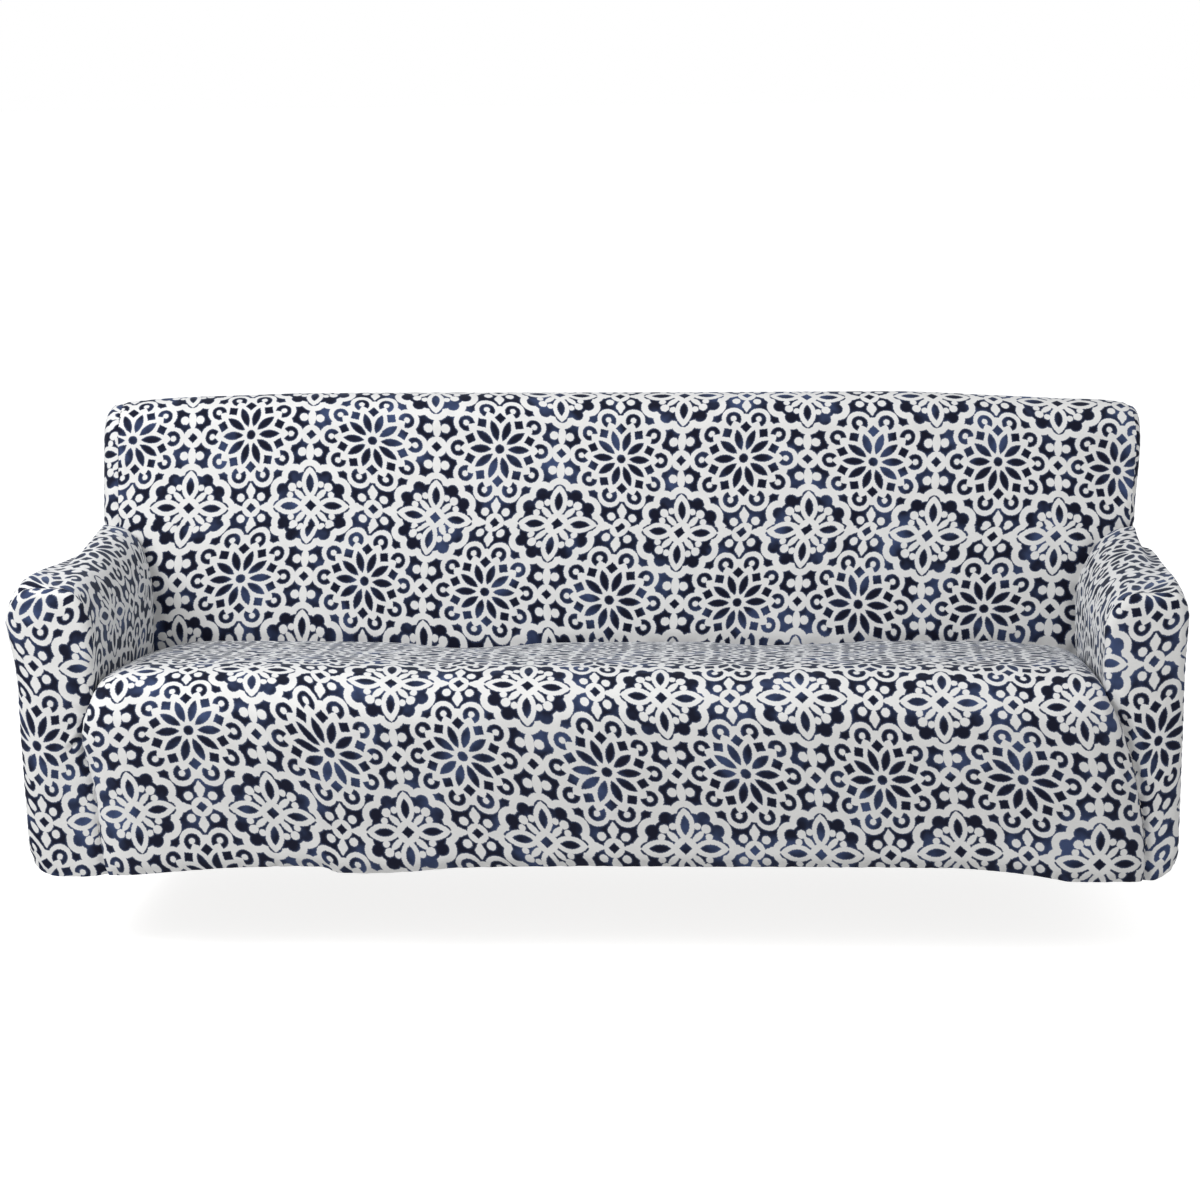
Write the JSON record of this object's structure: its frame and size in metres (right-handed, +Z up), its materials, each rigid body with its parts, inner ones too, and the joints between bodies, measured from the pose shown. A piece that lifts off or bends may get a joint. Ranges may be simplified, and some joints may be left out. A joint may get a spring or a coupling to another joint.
{
  "type": "sofa slipcover",
  "caption": "Fitted stretch slipcover for a rounded sofa with low arms: printed velvet panels sewn into one hollow cover, open below.",
  "frame": {"origin": "middle of the whole cover, level with the lowest point of its hem", "axes": "+X along the seat, +Y from the front to the back, +Z up"},
  "size_m": [2.105, 0.8448, 0.8043],
  "materials": {
    "printed_velvet": "cream stretch velvet with an indigo tracery print, soft sheen"
  },
  "bodies": {
    "root": {"back_inner": "printed_velvet", "back_outer": "printed_velvet", "back_side_left": "printed_velvet", "back_side_right": "printed_velvet", "seat": "printed_velvet", "arm_left": "printed_velvet", "arm_right": "printed_velvet", "arm_front_left": "printed_velvet", "arm_front_right": "printed_velvet"}
  },
  "joints": []
}
